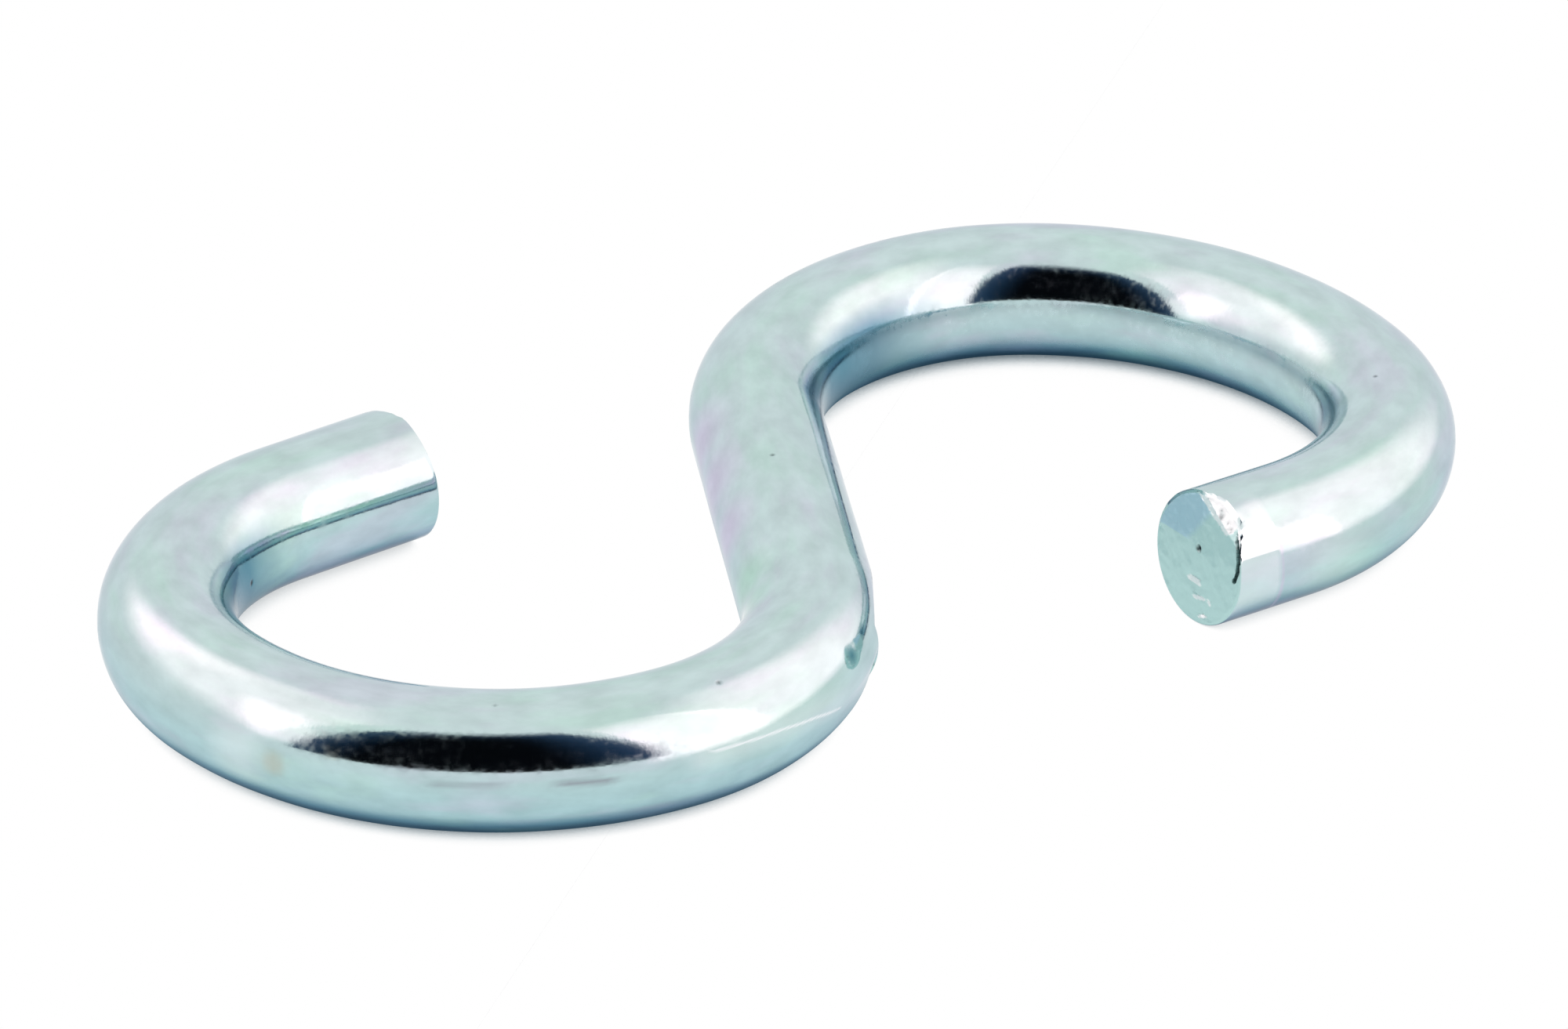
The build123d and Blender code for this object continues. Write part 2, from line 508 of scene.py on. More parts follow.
films = [
    {"shade": "lilac", "way": "upper", "out": 4.6, "around": 12, "radius": 2.2, "dark": 0.8},
    {"shade": "lilac", "way": "upper", "out": 1.4, "around": 12, "radius": 2.4, "dark": 0.8},
    {"shade": "lilac", "way": "lower", "out": 2.2, "around": 164, "radius": 2.0, "dark": 0.8},
    {"shade": "green", "way": "lower", "out": 6.4, "around": 154, "radius": 1.8, "dark": 0.8},
    {"shade": "green", "way": "lower", "out": 9.0, "around": 145, "radius": 1.6, "dark": 0.7},
    {"shade": "green", "way": "upper", "out": 46.5, "around": 0, "radius": 2.4, "dark": 0.35},
    {"shade": "green", "way": "upper", "out": 49.6, "around": -18, "radius": 2.6, "dark": 0.4},
    {"shade": "rubbed", "way": "lower", "out": 31.4, "around": 3, "radius": 1.6, "dark": 0.3},
    {"shade": "rubbed", "way": "upper", "out": 50.6, "around": -4, "radius": 2.2, "dark": 0.2},
]  # where the film shows its tint most, and two spots of painted highlight
frostInside = {
    "edge": [
        (12.0, 155), (14.0, 158), (17.0, 162), (22.0, 165),
        (28.0, 164), (34.5, 160), (38.0, 154), (41.0, 141),
    ],
    "edgeWidth": 2, "stop": 212.0, "stopWidth": 10, "endWidth": 3, "strength": 3.0, "light": 0.12,
}  # the satin band inside the upper eye: its upper edge's places out and round, and where it stops below; light is how much painted highlight it gets
shadedBends = [
    {"way": "lower", "out": 41.8, "half": 5.5},
    {"way": "upper", "out": 12.8, "half": 6.5},
    {"way": "upper", "out": 45.0, "half": 4.5},
]  # the middle of each tight bend, where painted teal shade darkens the inside of it
bendShadeInside = {"from": 0.72, "over": 0.22, "ends": 1.5}  # shares of the wire's radius, into the bend, for that painted shade
spotEdge = {"pit": 1.6, "stain": 1.6, "dulled": 1.0, "film": 1.3, "pip": 1.2}  # how sharply each spot ends


def pressFlat(flat):
    # the bending tool's flat outside the lower shoulder, ended by a step
    skin = skinPlane("lower", flat["out"], 0)
    score(skin, flat["away"], grasp["fromSkin"])
    score(skin, flat["away"] + flat["step"], grasp["fromSkin"])
    edge = flat["away"] + flat["step"] / 2
    sunk = skin @ Matrix.Translation((0, 0, -flat["depth"] * mm))
    half, proud = flat["half"], flat["proud"]
    flatten(sunk, lambda x, y, z: -flat["towardsNeck"] < x < edge and abs(y) < half and z < proud)


def rubLine(rub):
    # a narrow strip rubbed off below the middle of the wire, ring by ring round the shoulder
    shoulder = ways["lower"][1]
    rings = ceil(shoulder["length"] / (sHook["step"] * mm))
    apart = shoulder["length"] / mm / rings
    out = shoulder["out"] / mm
    shallow = grasp["shallow"]
    oneRing = rub["ringShare"] * apart
    for each in range(rings + 1):
        if rub["from"] < out < rub["to"]:
            strip = skinPlane("lower", out, rub["lean"]) @ Matrix.Translation((0, 0, -rub["depth"] * mm))
            flatten(strip, lambda x, y, z: abs(x) < oneRing and abs(y) < rub["half"] and z < shallow)
        out += apart
    long, wide = rub["fineHalf"]
    fine = skinPlane("lower", *rub["fineAt"])
    pick(fine, lambda x, y, z: abs(x) < long and abs(y) < wide and -rub["fineDeep"] < z < shallow)
    bpy.ops.mesh.subdivide(number_cuts=1)


def gripFlats(grip):
    # two narrow flats left by the gripper on the end of the upper tail
    tail = ways["upper"][-1]
    start = (tail["out"] + tail["length"]) / mm - grip["back"]
    axis = skinPlane("upper", start, 0) @ Matrix.Translation((0, 0, -wireRadius))
    score(axis, 0, grasp["fromAxis"])
    score(axis, grip["step"], grasp["fromAxis"])
    edge, half, proud = grip["step"] / 2, grip["half"], grip["proud"]
    for around, depth in grip["flats"]:
        flat = skinPlane("upper", start, around) @ Matrix.Translation((0, 0, -depth * mm))
        flatten(flat, lambda x, y, z: x > edge and abs(y) < half and z < proud, grip["round"])


bpy.ops.object.select_all(action="DESELECT")
bpy.ops.mesh.primitive_circle_add(
    vertices=sHook["sides"], radius=wireRadius, location=(0, 0, wireRadius),
    rotation=(pi / 2, 0, radians(sHook["neckHeading"] + 90)),
)
hook = bpy.context.object
hook.name = "s_hook_wire"
bpy.ops.object.transform_apply(location=True, rotation=True, scale=True)
bpy.ops.object.mode_set(mode="EDIT")
neckRing = skinPlane("upper", 0, 0) @ Matrix.Translation((0, 0, -wireRadius))
for way in ("upper", "lower"):
    pick(neckRing, lambda x, y, z: abs(x) < 10 * grasp["flush"] and hypot(y, z) < grasp["fromAxis"])
    drawOut(way)
    cutThrough(way)
bpy.ops.mesh.select_all(action="SELECT")
bpy.ops.mesh.normals_make_consistent(inside=False)
print("wire drawn out and cut")

for way in ("upper", "lower"):
    faceBreak(way)
gripFlats(toolMarks["grip"])
pressFlat(toolMarks["flat"])
rubLine(toolMarks["rub"])
pip = toolMarks["pip"]
dent(skinPlane(pip["way"], pip["out"], pip["around"]), pip["radius"], pip["depth"])
for pit in pits:
    dent(skinPlane(pit["way"], pit["out"], pit["around"]), pit["radius"], pitDepth * pit["radius"])
for way in ("upper", "lower"):
    keepGroup(way + "Break", cutPlane(way), inBreak)
    keepGroup(way + "Lip", cutPlane(way), inLip)
bpy.ops.object.mode_set(mode="OBJECT")
for way in ("upper", "lower"):
    for name, steel in brokenSteel.items():
        roughen(way + name, steel["grain"], steel["depth"], way + steel["group"], level=steel["level"])
roughen("drawnWaves", drawnWaves["grain"], drawnWaves["depth"], octaves=0)
print("tool marks made:", len(hook.data.vertices), "points")

# Where each point lies on the straight wire, and how much of each mark it has
masks = (
    "pitted", "cutFace", "burnished", "torn", "thinPlate", "scuffed", "rubbed", "stained", "dulled",
    "lilac", "green",
)
hook.data.attributes.new("unbent", "FLOAT_VECTOR", "POINT")
for name in masks:
    hook.data.attributes.new(name, "FLOAT", "POINT")
places = np.empty(len(hook.data.vertices) * 3)
hook.data.vertices.foreach_get("co", places)
places = places.reshape(-1, 3)
onWire = unbend(places)
hook.data.attributes["unbent"].data.foreach_set("vector", onWire.ravel())
along, left, up = onWire.T
marked = {name: np.zeros(len(places)) for name in masks}


def spot(mask, mark, kind):
    # a round mark that fades to its edge
    middle = np.array(skinPlane(mark["way"], mark["out"], mark["around"]).translation)
    away = np.linalg.norm(places - middle, axis=1) / (mark["radius"] * mm)
    marked[mask] = np.maximum(marked[mask], mark["dark"] * np.clip(spotEdge[kind] * (1 - away), 0, 1))


# painted shade in the pits
for pit in pits:
    spot("pitted", pit, "pit")
for stain in stains:
    spot("stained", stain, "stain")
for patch in dulled:
    spot("dulled", patch, "dulled")
for film in films:
    spot(film["shade"], film, "film")
# painted teal shade in the pip's hollow
spot("thinPlate", pip, "pip")
outside = np.degrees(np.arctan2(up, left))  # on the upper eye: 0 outside the bend, 90 on top
for scuff in scuffs:
    outs, rounds = zip(*scuff["line"])
    out, around = (along, outside) if scuff["way"] == "upper" else (-along, 180 - outside)
    turned = (around - np.interp(out, outs, rounds) + 180) % 360 - 180
    offLine = abs(turned) / scuff["half"]
    ends = np.clip(scuffEdge["ends"] * np.minimum(out - outs[0], outs[-1] - out), 0, 1)
    shown = scuff["strength"] * ends * np.clip(scuffEdge["sides"] - offLine, 0, 1)
    marked[scuff["mask"]] = np.maximum(marked[scuff["mask"]], shown)
# painted teal shade inside each tight bend
for bend in shadedBends:
    sign = 1 if bend["way"] == "upper" else -1
    inward = np.clip((-sign * left / (wireRadius / mm) - bendShadeInside["from"]) / bendShadeInside["over"], 0, 1)
    middle = np.clip(bendShadeInside["ends"] * (1 - abs(sign * along - bend["out"]) / bend["half"]), 0, 1)
    marked["thinPlate"] = np.maximum(marked["thinPlate"], inward * middle)
wayRound = outside % 360
outs, rounds = zip(*frostInside["edge"])
frost = np.clip((wayRound - np.interp(along, outs, rounds)) / frostInside["edgeWidth"], 0, 1)
frost *= np.clip((frostInside["stop"] - wayRound) / frostInside["stopWidth"], 0, 1)
frost *= np.clip(np.minimum(along - outs[0], outs[-1] - along) / frostInside["endWidth"], 0, 1)
marked["dulled"] = np.maximum(marked["dulled"], frostInside["strength"] * frost)
# the band also gets a little painted highlight
marked["rubbed"] = np.maximum(marked["rubbed"], frostInside["light"] * frost)
# painted highlight over the grip's land, and a lilac line on its step
grip = toolMarks["grip"]
landStart = (ways["upper"][-1]["out"] + ways["upper"][-1]["length"]) / mm - grip["back"]
soft = grip["soft"]
lit = np.clip((outside - grip["lightFrom"]) / soft, 0, 1) * np.clip((grip["lightTo"] - outside) / soft, 0, 1)
lit *= np.clip((along - landStart) / grip["lightStart"], 0, 1)
marked["rubbed"] = np.maximum(marked["rubbed"], grip["light"] * lit)
ring = np.clip(grip["ringSharp"] - abs(along - landStart) / grip["ringHalf"], 0, 1)
ring *= np.clip((grip["ringTo"] - outside) / soft, 0, 1) * (outside > grip["ringFrom"])
marked["lilac"] = np.maximum(marked["lilac"], grip["ring"] * ring)
for way in ("upper", "lower"):
    back = np.array(cutPlane(way).inverted())
    local = (places @ back[:3, :3].T + back[:3, 3]) / mm
    fromMiddle = np.hypot(local[:, 0], local[:, 1])
    offPlane = abs(local[:, 2])
    onFace = (offPlane < grasp["proud"]) & (fromMiddle < wireRadius / mm - cutEnds["faceInset"])
    onRim = offPlane < cutEnds["rimShare"] * cutEnds["rim"]
    onRim &= fromMiddle < cutEnds["rimReach"] * wireRadius / mm
    marked["cutFace"][onFace | onRim] = 1
    # the burnished part above the ridge: its bluer, darker colour is partly a painted reflection
    start, slope, soft = cutEnds["blue"]
    short = start + slope * (local[:, 1] - cutEnds["ridge"]) - local[:, 0]
    marked["burnished"] += onFace * (local[:, 1] > cutEnds["ridge"]) * np.clip(short / soft + 0.5, 0, 1)
    holeLeft, holeUp, holeRadius = cutEnds["hole"]
    hole = np.hypot(local[:, 0] - holeLeft, local[:, 1] - holeUp) / holeRadius
    # torn lip and chips: torn steel painted near white, partly as a glint
    for point in np.nonzero(onFace)[0]:
        x, y, z = local[point]
        marked["torn"][point] = onLip(x, y) and z < -cutEnds["lipShows"]
        # painted shade in the burr's gap and in the hole
        gap = fromLine(x, y, cutEnds["burr"]) / cutEnds["burrWidth"]
        marked["pitted"][point] = min(max(cutEnds["burrGapShade"] - gap, cutEnds["holeShade"] - hole[point], 0), 1)
        for *ends, half in cutEnds["flecks"]:
            if fromLine(x, y, ends) < half:
                marked["torn"][point] = 1
for name in masks:
    hook.data.attributes[name].data.foreach_set("value", marked[name])

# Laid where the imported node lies, with the middle of its box on the middle of the node's
low, high = (np.array(corner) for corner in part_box("s_hook"))
laid = Vector((low + high - places.min(0) - places.max(0)) / 2)
hook.location = laid
bpy.ops.object.transform_apply(location=True, rotation=False, scale=False)
bpy.ops.object.shade_smooth_by_angle(angle=radians(sHook["sharp"]), keep_sharp_edges=True)
print("hook laid in its place, larger than the node's box by", (np.ptp(places, 0) - high + low) / mm)

# Bright zinc electroplate over drawn steel wire, with a clear blue passivate on it.
# To the eye it is a satin silver, a little blue green, with painted shade that deepens it to the sides and
# darkens it towards the underside, lilac and green clouds where the film is thicker, painted teal shade
# inside tight bends and in the pip, faint lines along the wire, frosted patches and specks; painted
# highlights along the rub and on lit stretches, painted shade in pits and the burr's gap, torn steel and
# chips painted near white partly as glints, a burnished part painted bluer
zincPlate = {
    # the plate's blue-green tint from the underside (-1) to the top (1), with painted shade making it deeper
    # to the sides and dark below
    "plateTintAndUndersideShade": [
        (-1.0, "#22364F"), (-0.85, "#34506B"), (-0.7, "#567A91"), (-0.58, "#7DA1B2"), (-0.42, "#A3C5CB"),
        (0.0, "#B0CFD2"), (0.5, "#BED2D3"), (1.0, "#C2D5D5"),
    ],
    "edgeOn": "#E8EBF0",  # seen along the skin
    "lilac": "#CDC2DB",
    "green": "#B2DBC8",
    "filmSize": (5.0, 1.5),  # length and width of a cloud in the film, in mm
    "filmShare": 0.32,
    "lilacBand": (0.52, 0.68),  # of the film's cloud, from none of the tint to all of it
    "greenBand": (0.46, 0.32),
    "cloud": (1.5, 0.8),  # length and width of light and dark clouds, in mm
    "cloudBand": (0.3, 0.7),
    "cloudDepth": 0.085,
    # painted teal shade inside tight bends and in the pip
    "thinPlate": "#3F7F96",
    "bendShadeShare": 0.88,
    "cut": "#BADDDB",
    # burnished part, its bluer colour partly a painted reflection
    "burnished": "#AED2DE",
    # torn steel, painted near white, partly as a glint
    "torn": "#E9F4F4",
    # painted shade in pits, the burr's gap and the hole
    "pit": "#16232B",
    "scuff": "#98A4AB",
    # painted highlight
    "rubbed": "#F2F7FA",
    "stain": "#B4BDB3",
    "roughness": 0.085,
    "cutRoughness": 0.45,
    "frost": (4.0, 1.6),  # length and width of a frosted patch, in mm
    "frostGrain": 0.28,
    "frostRoughness": 0.355,
    "frostBand": (1.0, 1.7),  # of patch and speck together, from bright to frosted
    "dullShare": 0.22,
    "drawnLine": (3.0, 0.16),  # length and width in mm, coarser than the real lines so that they show
    "drawnDepth": 0.0009,
    "grain": 0.22,
    "grainDepth": 0.0016,
}


def makeZinc(finish):
    material, tree = newMaterial("zinc_electroplate_blue_passivate_on_drawn_wire")
    place = addNode(tree, "ShaderNodeAttribute", {"attribute_name": "unbent"}).outputs["Vector"]
    mark = {
        name: addNode(tree, "ShaderNodeAttribute", {"attribute_name": name}).outputs["Fac"] for name in masks
    }

    # the straight wire's places, drawn out so that each pattern has its length and width
    drawn = {}
    for name in ("filmSize", "cloud", "frost", "drawnLine"):
        length, width = finish[name]
        scale = (1 / length, 1 / width, 1 / width)
        drawn[name] = addNode(tree, "ShaderNodeMapping", {"Scale": scale}, {"Vector": place}).outputs[0]

    # colour by how far up the wire's round a place is: the plate's tint, with painted shade deeper to the
    # sides and dark towards the underside
    height = addNode(tree, "ShaderNodeSeparateXYZ", None, {0: place}).outputs["Z"]
    radius = wireRadius / mm
    share = addNode(
        tree, "ShaderNodeMapRange", {"From Min": -radius, "From Max": radius}, {"Value": height},
    )
    stops = [((level + 1) / 2, shade) for level, shade in finish["plateTintAndUndersideShade"]]
    colour = addNode(tree, "ShaderNodeValToRGB", {"stops": stops}, {0: share.outputs[0]})

    # the film's own tints, long along the wire, then light and dark clouds
    tint = addNode(tree, "ShaderNodeTexNoise", {"Scale": 1, "Detail": 3}, {"Vector": drawn["filmSize"]})
    shown = colour.outputs[0]
    for shade in ("lilac", "green"):
        low, high = finish[shade + "Band"]
        amount = addNode(
            tree, "ShaderNodeMapRange", {"From Min": low, "From Max": high, "To Max": finish["filmShare"]},
            {"Value": tint.outputs[0]},
        )
        amount = addNode(
            tree, "ShaderNodeMath", {"operation": "MAXIMUM"}, {0: amount.outputs[0], 1: mark[shade]},
        )
        shown = addNode(
            tree, "ShaderNodeMix", {"data_type": "RGBA", 7: hexColour(finish[shade])},
            {0: amount.outputs[0], 6: shown},
        ).outputs[2]
    cloud = addNode(tree, "ShaderNodeTexNoise", {"Scale": 1, "Detail": 3}, {"Vector": drawn["cloud"]})
    low, high = finish["cloudBand"]
    depth = finish["cloudDepth"]
    light = addNode(
        tree, "ShaderNodeMapRange",
        {"From Min": low, "From Max": high, "To Min": 1 - depth, "To Max": 1 + depth},
        {"Value": cloud.outputs[0]},
    )
    shown = addNode(
        tree, "ShaderNodeMix", {"data_type": "RGBA", "blend_type": "MULTIPLY", 0: 1.0},
        {6: shown, 7: light.outputs[0]},
    ).outputs[2]
    # over the tint: painted shade inside bends and the pip, the stain, scuffs, painted highlights, the cut's
    # colours, torn steel with painted glints, painted shade in pits
    bendShadeAmount = addNode(
        tree, "ShaderNodeMath", {"operation": "MULTIPLY", 1: finish["bendShadeShare"]}, {0: mark["thinPlate"]},
    )
    over = [
        (bendShadeAmount.outputs[0], "thinPlate"), (mark["stained"], "stain"), (mark["scuffed"], "scuff"),
        (mark["rubbed"], "rubbed"), (mark["cutFace"], "cut"), (mark["burnished"], "burnished"),
        (mark["torn"], "torn"), (mark["pitted"], "pit"),
    ]
    for mask, shade in over:
        shown = addNode(
            tree, "ShaderNodeMix", {"data_type": "RGBA", 7: hexColour(finish[shade])}, {0: mask, 6: shown},
        ).outputs[2]

    # a bright skin with frosted patches, made of fine specks; the cuts are duller
    patch = addNode(tree, "ShaderNodeTexNoise", {"Scale": 1, "Detail": 2}, {"Vector": drawn["frost"]})
    speck = addNode(
        tree, "ShaderNodeTexNoise", {"Scale": 1 / finish["frostGrain"], "Detail": 2}, {"Vector": place},
    )
    both = addNode(tree, "ShaderNodeMath", {"operation": "ADD"}, {0: patch.outputs[0], 1: speck.outputs[0]})
    both = addNode(
        tree, "ShaderNodeMath", {"operation": "MULTIPLY_ADD", 1: finish["dullShare"]},
        {0: mark["dulled"], 2: both.outputs[0]},
    )
    low, high = finish["frostBand"]
    frosted = addNode(
        tree, "ShaderNodeMapRange",
        {
            "From Min": low, "From Max": high,
            "To Min": finish["roughness"], "To Max": finish["frostRoughness"],
        },
        {"Value": both.outputs[0]},
    )
    rough = addNode(
        tree, "ShaderNodeMix", {"data_type": "FLOAT", 3: finish["cutRoughness"]},
        {0: mark["cutFace"], 2: frosted.outputs[0]},
    )

    # drawn lines, then the plate's fine grain
    lines = addNode(tree, "ShaderNodeTexNoise", {"Scale": 1, "Detail": 3}, {"Vector": drawn["drawnLine"]})
    lineBump = addNode(
        tree, "ShaderNodeBump", {"Distance": finish["drawnDepth"] * mm}, {"Height": lines.outputs[0]},
    )
    grain = addNode(
        tree, "ShaderNodeTexNoise", {"Scale": 1 / finish["grain"], "Detail": 2}, {"Vector": place},
    )
    grainBump = addNode(
        tree, "ShaderNodeBump", {"Distance": finish["grainDepth"] * mm},
        {"Height": grain.outputs[0], "Normal": lineBump.outputs[0]},
    )
    shader = addNode(
        tree, "ShaderNodeBsdfPrincipled", {"Metallic": 1.0, "Specular Tint": hexColour(finish["edgeOn"])},
        {"Base Color": shown, "Roughness": rough.outputs[0], "Normal": grainBump.outputs[0]},
    )
    addNode(tree, "ShaderNodeOutputMaterial", None, {"Surface": shader.outputs[0]})
    return material


hook.data.materials.append(makeZinc(zincPlate))
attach(hook, "root")
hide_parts("s_hook")
print("zinc plate on")

# Studio: a white tent with warm soft boxes at its sides and an open front, which the metal mirrors as dark.
# Places are in mm: across to the camera's right, towards it, and up from the floor. Fades are shares of a
# panel's size at its left, right, foot and top, as seen from behind it
studio = {
    "floor": "#F4F4F4",
    "floorSize": 6000,
    "contactReach": 50,
    # painted shadow on the paper as the eye sees it, and a darker one that the metal mirrors
    "contact": [(0.02, "#46535C"), (0.09, "#9EAAB0"), (0.16, "#E1E6E8"), (0.25, "#FFFFFF")],
    "mirrored": [(0.0, "#15303F"), (0.18, "#4A6D7F"), (0.38, "#A6C1CA"), (0.6, "#FFFFFF")],
    "mirrorReach": (2.0, 7.0),  # how far off the metal still sees the paper dark, in mm
    "lightUnder": {"upper": 0.5, "lower": 0.55},  # how much lighter the painted shadow is under each tail
    "lightReach": (5.0, 13.0),  # from a tail's end, all of that and none of it
    "front": {
        "place": (-46, 152, 279), "size": (350, 502), "fade": (0.06, 0.07, 0.0, 0.42), "slants": (0.22, 0.22),
        "colour": "#07090D", "edgeColour": "#2C4868", "edgeFade": (0.3, 0.28, 0.0, 0.58),
    },
    "warm": "#FFD2D5",
    "softBoxes": {
        "rightFront": {
            "place": (152, 111, 312), "size": (140, 640), "fade": (0.06, 0.1, 0.05, 0.8),
            "roll": 0, "glow": 0.92,
        },
        "rightSide": {
            "place": (170, -49, 285), "size": (300, 585), "fade": (0.08, 0.38, 0.06, 0.75),
            "roll": 0, "glow": 0.7,
        },
        "leftWall": {
            "place": (-190, -44, 410), "size": (390, 760), "fade": (0.3, 0.05, 0.11, 0.75),
            "roll": 0, "glow": 0.54,
        },
        "leftFront": {
            "place": (-249, 91, 200), "size": (125, 360), "fade": (0.25, 0.1, 0.12, 0.4),
            "roll": 27, "glow": 0.48,
        },
        "leftBack": {
            "place": (-190, -124, 190), "size": (160, 330), "fade": (0.45, 0.5, 0.3, 0.5),
            "roll": 0, "glow": 0.42,
        },
    },
}


def inStudio(place):
    across, towards, up = place
    turn = radians(viewpoint["turn"])
    return Vector((
        across * cos(turn) + towards * sin(turn),
        across * sin(turn) - towards * cos(turn),
        up,
    )) * mm


def standUp(place, roll):
    # turned to face the hook from that place, with its foot to the floor
    away = inStudio(place)
    facing = Vector((-away.x, -away.y, 0)).normalized()
    upright = Matrix((wireUp.cross(-facing), wireUp, -facing)).transposed()
    return (upright @ Matrix.Rotation(radians(roll), 3, "Z")).to_euler()


def hangPanel(name, place, size, turned):
    bpy.ops.mesh.primitive_plane_add(size=1, location=inStudio(place), rotation=turned)
    panel = bpy.context.object
    panel.name = name
    panel.scale = (size[0] * mm, size[1] * mm, 1)
    bpy.ops.object.transform_apply(location=True, rotation=True, scale=True)
    panel.visible_camera = False
    panel.visible_shadow = False
    return panel


def fadeEdges(tree, fades, slants=(0, 0)):
    # 1 in the middle of a panel, down to 0 at each edge that fades; slants lean the sides in towards the top
    spread = addNode(tree, "ShaderNodeSeparateXYZ", None, {0: addNode(tree, "ShaderNodeUVMap").outputs[0]})
    sides = []
    for slant in (-slants[0], slants[1]):
        lean = addNode(
            tree, "ShaderNodeMath", {"operation": "MULTIPLY_ADD", 1: slant},
            {0: spread.outputs["Y"], 2: spread.outputs["X"]},
        )
        sides.append(lean.outputs[0])
    sides += [spread.outputs["Y"], spread.outputs["Y"]]
    amount = None
    for side, edge, share in zip(sides, (0, 1, 0, 1), fades):
        if not share:
            continue
        ramp = addNode(
            tree, "ShaderNodeMapRange",
            {"interpolation_type": "SMOOTHSTEP", "From Min": edge, "From Max": abs(edge - share)},
            {"Value": side},
        )
        if amount:
            ramp = addNode(tree, "ShaderNodeMath", {"operation": "MULTIPLY"}, {0: amount, 1: ramp.outputs[0]})
        amount = ramp.outputs[0]
    return amount


for name, box in studio["softBoxes"].items():
    softBox = hangPanel(name, box["place"], box["size"], standUp(box["place"], box["roll"]))
    cloth, tree = newMaterial("soft_box_cloth_" + name)
    strength = addNode(
        tree, "ShaderNodeMath", {"operation": "MULTIPLY", 1: box["glow"]}, {0: fadeEdges(tree, box["fade"])},
    )
    light = addNode(
        tree, "ShaderNodeEmission", {"Color": hexColour(studio["warm"])}, {"Strength": strength.outputs[0]},
    )
    clear = addNode(tree, "ShaderNodeBsdfTransparent")
    both = addNode(tree, "ShaderNodeAddShader", None, {0: light.outputs[0], 1: clear.outputs[0]})
    addNode(tree, "ShaderNodeOutputMaterial", None, {"Surface": both.outputs[0]})
    softBox.data.materials.append(cloth)

firstBounce = 1.5  # a ray depth under this is the metal's own mirror image, past it wire is mirrored in wire
bpy.ops.mesh.primitive_plane_add(size=studio["floorSize"] * mm)
floor = bpy.context.object
floor.name = "floor"
paper, tree = newMaterial("white_paper_sweep")
seen = addNode(tree, "ShaderNodeLightPath")
either = addNode(
    tree, "ShaderNodeMath", {"operation": "MAXIMUM"},
    {0: seen.outputs["Is Camera Ray"], 1: seen.outputs["Is Glossy Ray"]},
)
anyOf = addNode(
    tree, "ShaderNodeMath", {"operation": "MAXIMUM"},
    {0: either.outputs[0], 1: seen.outputs["Is Transmission Ray"]},
)
# what the eye and the metal see: white paper with a painted shadow close under the wire, lighter under the
# tails
openness = addNode(
    tree, "ShaderNodeAmbientOcclusion", {"samples": 16, "Distance": studio["contactReach"] * mm},
)
eyeSees = addNode(tree, "ShaderNodeValToRGB", {"stops": studio["contact"]}, {0: openness.outputs["AO"]})
metalSees = addNode(tree, "ShaderNodeValToRGB", {"stops": studio["mirrored"]}, {0: openness.outputs["AO"]})
once = addNode(
    tree, "ShaderNodeMath", {"operation": "LESS_THAN", 1: firstBounce}, {0: seen.outputs["Ray Depth"]},
)
mirrored = addNode(
    tree, "ShaderNodeMath", {"operation": "MULTIPLY"}, {0: seen.outputs["Is Glossy Ray"], 1: once.outputs[0]},
)
near, far = studio["mirrorReach"]
close = addNode(
    tree, "ShaderNodeMapRange", {"From Min": far * mm, "From Max": near * mm},
    {"Value": seen.outputs["Ray Length"]},
)
mirrored = addNode(
    tree, "ShaderNodeMath", {"operation": "MULTIPLY"}, {0: mirrored.outputs[0], 1: close.outputs[0]},
)
shade = addNode(
    tree, "ShaderNodeMix", {"data_type": "RGBA"},
    {0: mirrored.outputs[0], 6: eyeSees.outputs[0], 7: metalSees.outputs[0]},
)
onFloor = addNode(tree, "ShaderNodeTexCoord").outputs["Object"]
near, far = studio["lightReach"]
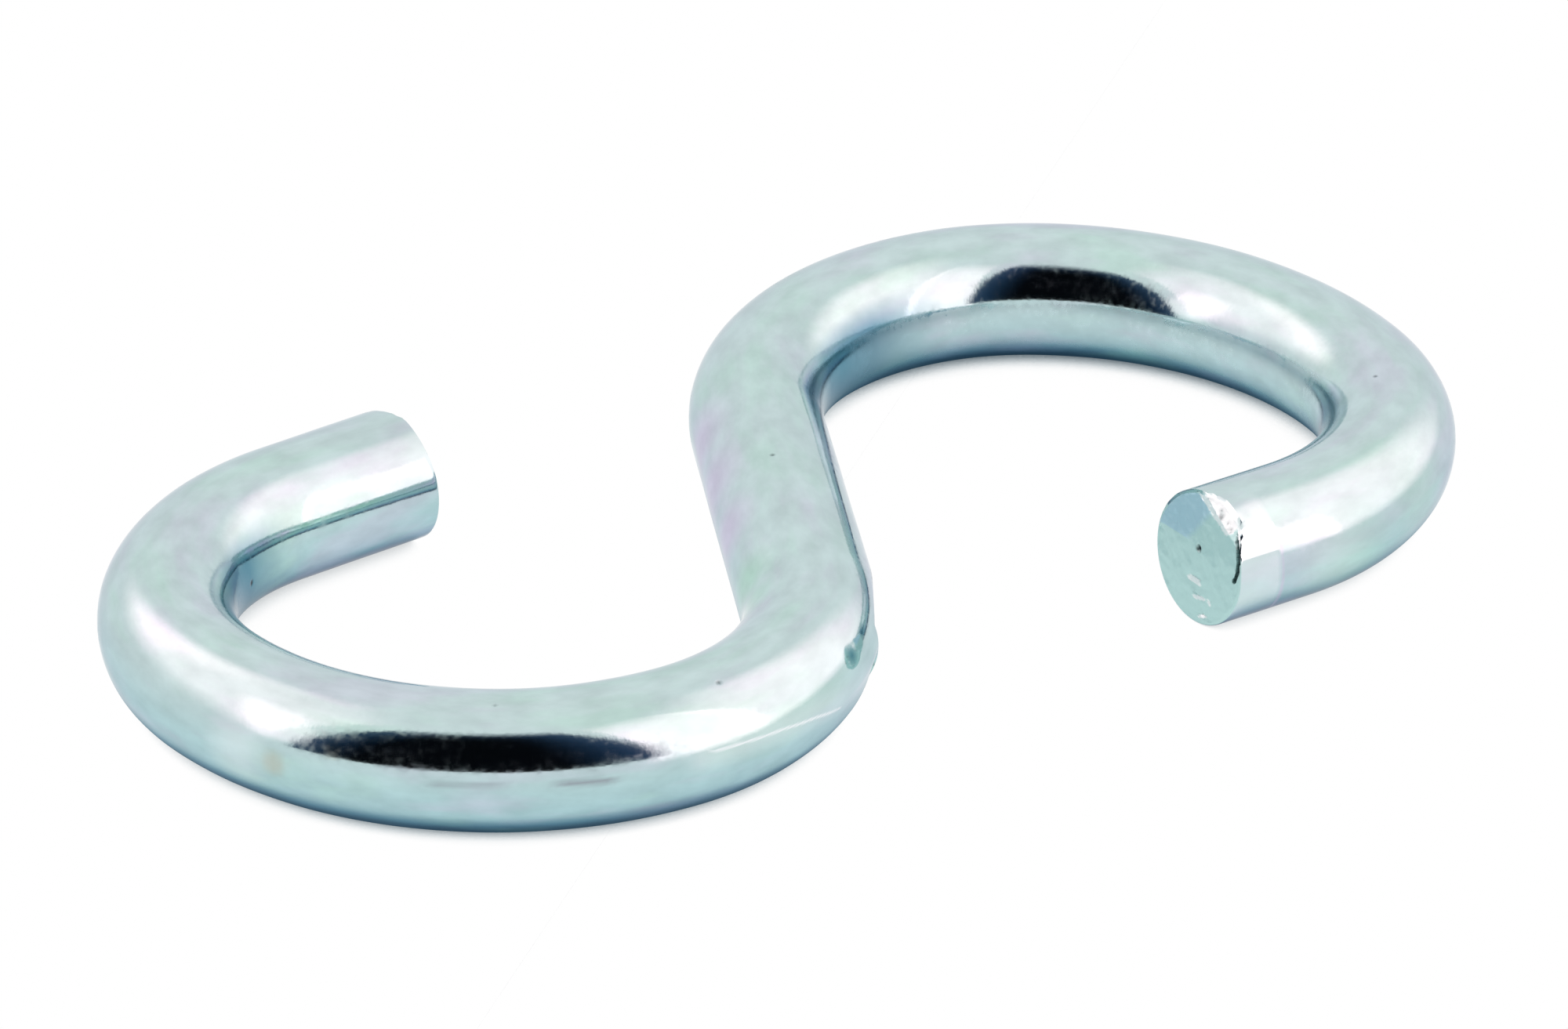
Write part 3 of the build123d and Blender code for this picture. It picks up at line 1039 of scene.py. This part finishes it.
for way, amount in studio["lightUnder"].items():
    tailEnd = cutPlane(way).translation + laid
    away = addNode(
        tree, "ShaderNodeVectorMath", {"operation": "DISTANCE", 1: (tailEnd.x, tailEnd.y, 0)}, {0: onFloor},
    )
    lift = addNode(
        tree, "ShaderNodeMapRange", {"From Min": far * mm, "From Max": near * mm, "To Max": amount},
        {"Value": away.outputs["Value"]},
    )
    shade = addNode(
        tree, "ShaderNodeMix", {"data_type": "RGBA", 7: (1, 1, 1, 1)},
        {0: lift.outputs[0], 6: shade.outputs[2]},
    )
matt = addNode(tree, "ShaderNodeBsdfDiffuse", {"Color": hexColour(studio["floor"])})
white = addNode(tree, "ShaderNodeEmission", {"Strength": 1.0}, {"Color": shade.outputs[2]})
mixed = addNode(
    tree, "ShaderNodeMixShader", None, {0: anyOf.outputs[0], 1: matt.outputs[0], 2: white.outputs[0]},
)
addNode(tree, "ShaderNodeOutputMaterial", None, {"Surface": mixed.outputs[0]})
floor.data.materials.append(paper)

# the open front of the tent, seen in the metal only, and not in wire that is mirrored in wire
openFront = studio["front"]
facing = standUp((0, openFront["place"][1], 0), 0)
front = hangPanel("open_front", openFront["place"], openFront["size"], facing)
front.visible_diffuse = False
dark, tree = newMaterial("dark_room")
seen = addNode(tree, "ShaderNodeLightPath")
once = addNode(
    tree, "ShaderNodeMath", {"operation": "LESS_THAN", 1: firstBounce}, {0: seen.outputs["Ray Depth"]},
)
cover = fadeEdges(tree, openFront["fade"], openFront["slants"])
inner = fadeEdges(tree, openFront["edgeFade"], openFront["slants"])
shade = addNode(
    tree, "ShaderNodeMix",
    {"data_type": "RGBA", 6: hexColour(openFront["edgeColour"]), 7: hexColour(openFront["colour"])},
    {0: inner},
)
black = addNode(tree, "ShaderNodeEmission", {"Strength": 1.0}, {"Color": shade.outputs[2]})
clear = addNode(tree, "ShaderNodeBsdfTransparent")
held = addNode(tree, "ShaderNodeMath", {"operation": "MULTIPLY"}, {0: cover, 1: once.outputs[0]})
veil = addNode(
    tree, "ShaderNodeMixShader", None, {0: held.outputs[0], 1: clear.outputs[0], 2: black.outputs[0]},
)
addNode(tree, "ShaderNodeOutputMaterial", None, {"Surface": veil.outputs[0]})
front.data.materials.append(dark)

world = bpy.data.worlds.new("white_tent")
world.use_nodes = True
world.node_tree.nodes["Background"].inputs["Color"].default_value = (1, 1, 1, 1)
world.node_tree.nodes["Background"].inputs["Strength"].default_value = 1.0
scene.world = world
print("studio lit")
